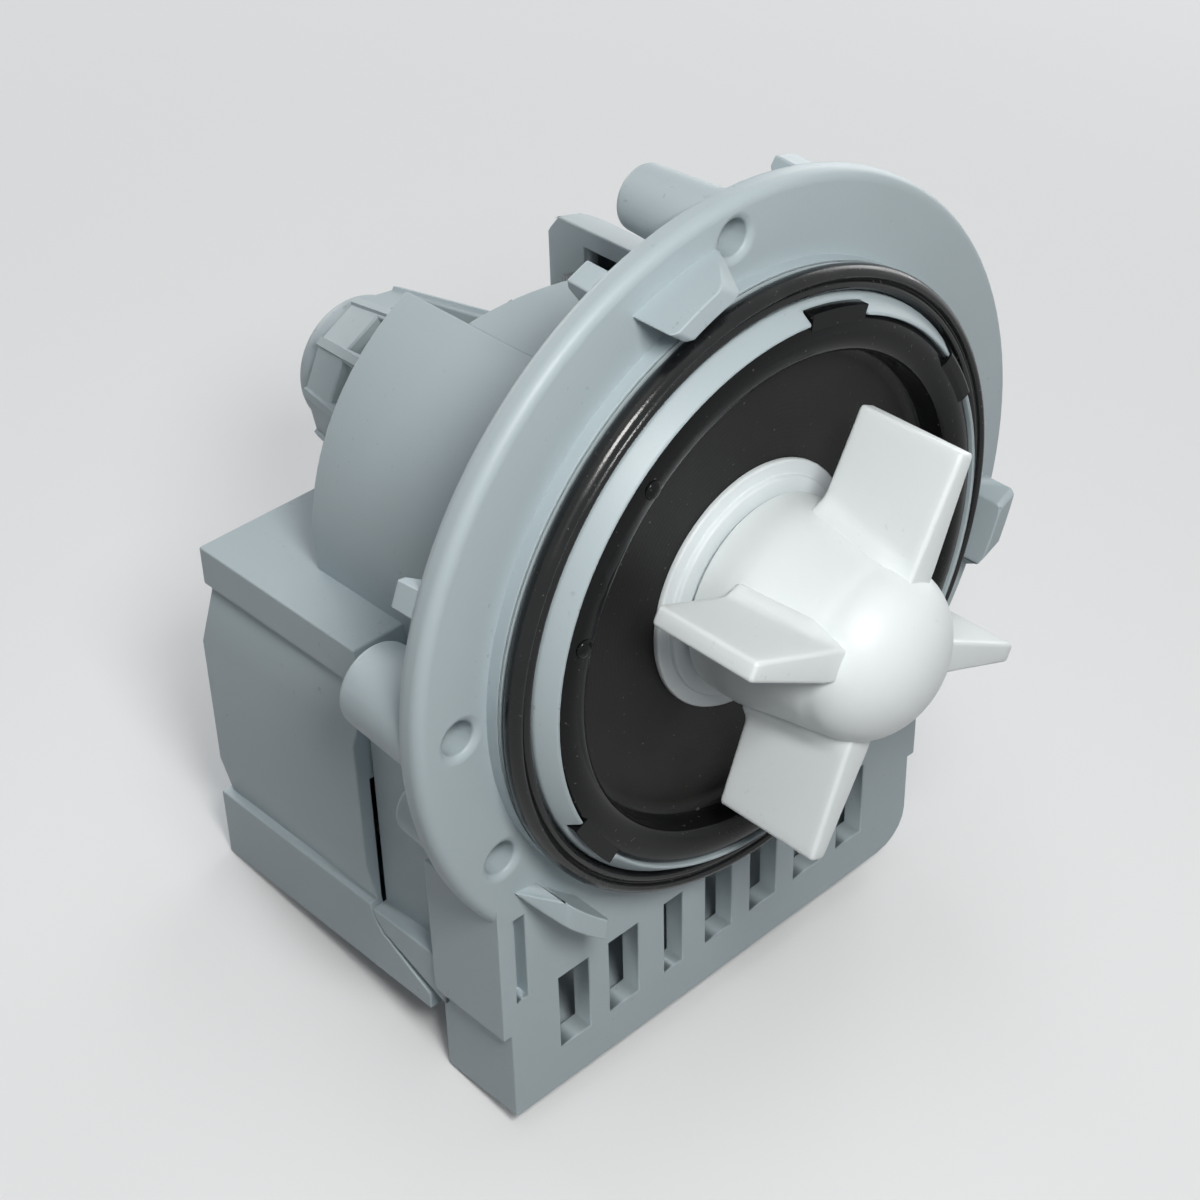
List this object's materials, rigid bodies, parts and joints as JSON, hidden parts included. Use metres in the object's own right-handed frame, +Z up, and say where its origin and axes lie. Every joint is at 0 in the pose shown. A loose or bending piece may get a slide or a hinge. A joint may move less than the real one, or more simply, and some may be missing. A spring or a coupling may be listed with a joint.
{
  "type": "drain pump",
  "caption": "Washing machine drain pump: round bayonet flange with a seal ring, bladed impeller with free play on a motor shaft, slotted foot, coil box and vented rear cover.",
  "frame": {"origin": "on the shaft axis, in the front face of the flange", "axes": "+Y along the shaft from the impeller to the rear cover, +Z up away from the foot, +X to the right seen from the front"},
  "size_m": [0.096, 0.0975, 0.1085],
  "materials": {
    "body_plastic": "satin moulded",
    "seal_rubber": "smooth",
    "cover_plastic": "gloss rim with a satin dish",
    "inner_rubber": "matte",
    "impeller_plastic": "satin moulded",
    "collar_plastic": "satin moulded",
    "natural_plastic": "satin moulded",
    "bronze": "sintered",
    "shaft_steel": "ground",
    "lamination_steel": "stamped stack",
    "rivet_steel": "plated",
    "copper_winding": "lacquered wire",
    "ferrite": "ground",
    "fuse_case": "satin",
    "terminal_brass": "tinned edges"
  },
  "bodies": {
    "housing": {"front_housing": "body_plastic", "flange_seal": "seal_rubber", "front_cover": "cover_plastic", "cover_gasket": "inner_rubber", "bearing_collar": "collar_plastic", "shaft_seal": "inner_rubber", "front_bearing": "bronze", "front_mount": "inner_rubber", "rear_bearing": "bronze", "rear_mount": "inner_rubber", "rotor_sleeve": "natural_plastic", "stator_core": "lamination_steel", "core_rivets": "rivet_steel", "left_bobbin": "natural_plastic", "right_bobbin": "natural_plastic", "left_winding": "copper_winding", "right_winding": "copper_winding", "thermal_fuse": "fuse_case", "terminals": "terminal_brass", "coil_cover": "body_plastic", "fan_cover": "body_plastic"},
    "rotor": {"shaft": "shaft_steel", "rotor_magnet": "ferrite", "magnet_carrier": "natural_plastic", "cooling_fan": "natural_plastic", "drive_dog": "natural_plastic", "thrust_washers": "bronze"},
    "impeller": {"impeller": "impeller_plastic", "stop_buffer": "inner_rubber", "retaining_disc": "impeller_plastic"}
  },
  "joints": [
    {"name": "rotor_spin", "type": "hinge", "parent": "housing", "child": "rotor", "pos_m": [0, 0, 0], "axis": [0, 1, 0], "continuous": true},
    {"name": "impeller_play", "type": "hinge", "parent": "rotor", "child": "impeller", "pos_m": [0, -0.015, 0], "axis": [0, 1, 0], "range_deg": [-115, 115]}
  ]
}
